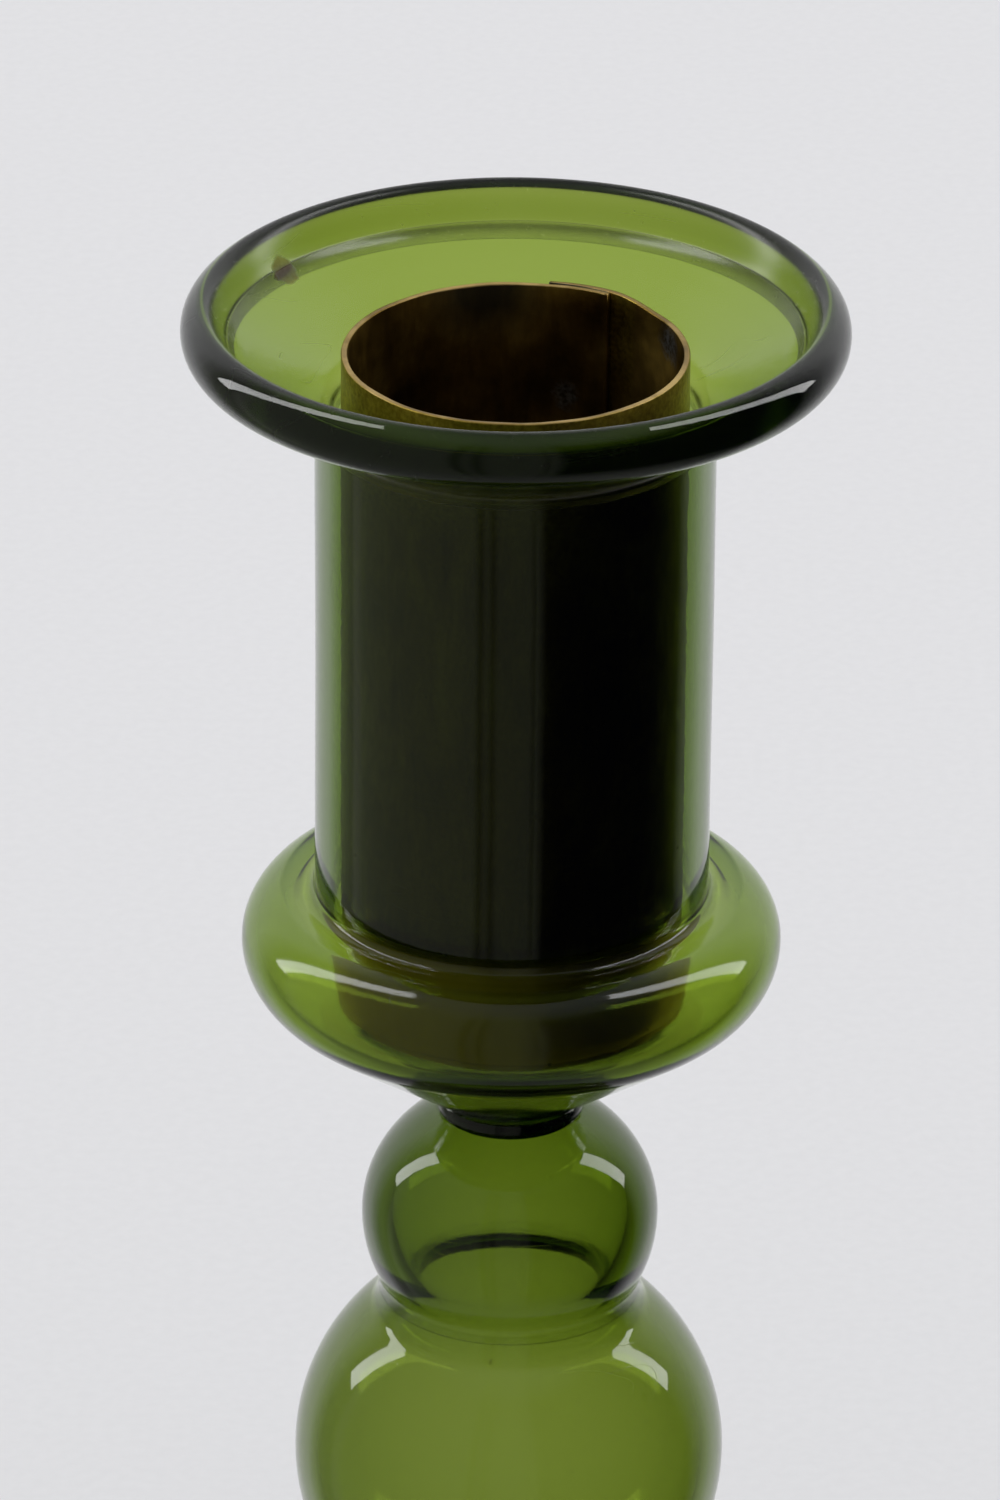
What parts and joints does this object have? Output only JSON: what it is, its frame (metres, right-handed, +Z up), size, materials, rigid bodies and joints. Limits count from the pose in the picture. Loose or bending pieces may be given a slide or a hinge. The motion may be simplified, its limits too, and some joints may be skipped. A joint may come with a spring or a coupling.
{
  "type": "glass candlestick",
  "caption": "Green hollow glass candlestick with a rolled-rim drip pan, straight candle tube, ring collar, ball knops, bell foot and a loose brass candle sleeve.",
  "frame": {"origin": "centre of the circle that the foot stands on", "axes": "+Z up along the stem; +X to the right as seen from the front; the sleeve's seam is at the back right"},
  "size_m": [0.064, 0.064, 0.142],
  "materials": {
    "green_glass": "clear green, polished",
    "rim_glass": "clear green, thick and dark, polished",
    "brass": "aged, brown patina with a worn bright edge",
    "solder": "dull grey, tarnished"
  },
  "bodies": {
    "glass_body": {"rim_wrap": "rim_glass", "drip_pan": "green_glass", "candle_tube": "green_glass", "collar_bowl": "green_glass", "upper_wafer": "green_glass", "upper_knop": "green_glass", "lower_knop": "green_glass", "lower_wafer": "green_glass", "bell_foot": "green_glass", "foot_rim": "rim_glass"},
    "sleeve": {"candle_sleeve": "brass", "seam_solder": "solder", "sleeve_base": "brass"}
  },
  "joints": [
    {"name": "sleeve_lift", "type": "slide", "parent": "glass_body", "child": "sleeve", "axis": [0, 0, 1], "range_m": [0, 0.058]}
  ]
}
